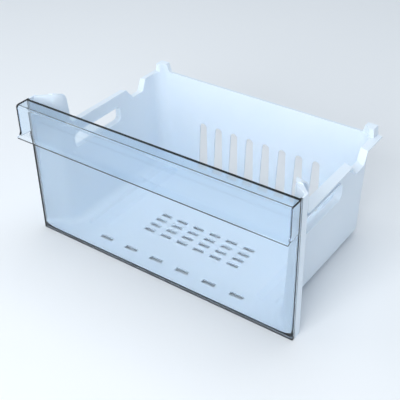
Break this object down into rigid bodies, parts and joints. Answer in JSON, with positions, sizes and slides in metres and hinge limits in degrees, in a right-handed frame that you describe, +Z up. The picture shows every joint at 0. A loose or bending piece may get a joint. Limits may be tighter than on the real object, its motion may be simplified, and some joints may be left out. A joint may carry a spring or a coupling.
{
  "type": "freezer drawer",
  "caption": "Vented freezer drawer: moulded tub with stepped side rails, hand holes and floor runners, closed by a clear front with a full-width pull.",
  "frame": {"origin": "on the surface that the drawer stands on, under the middle of the bounding box", "axes": "+X to the drawer's right as seen from the front, +Y from the clear front towards the rear, +Z up"},
  "size_m": [0.45, 0.3032, 0.226],
  "materials": {
    "tub_plastic": "satin white, moulded",
    "clear_plastic": "polished, clear with a slight blue tint"
  },
  "bodies": {
    "root": {"tub": "tub_plastic", "front_panel": "clear_plastic"}
  },
  "joints": []
}
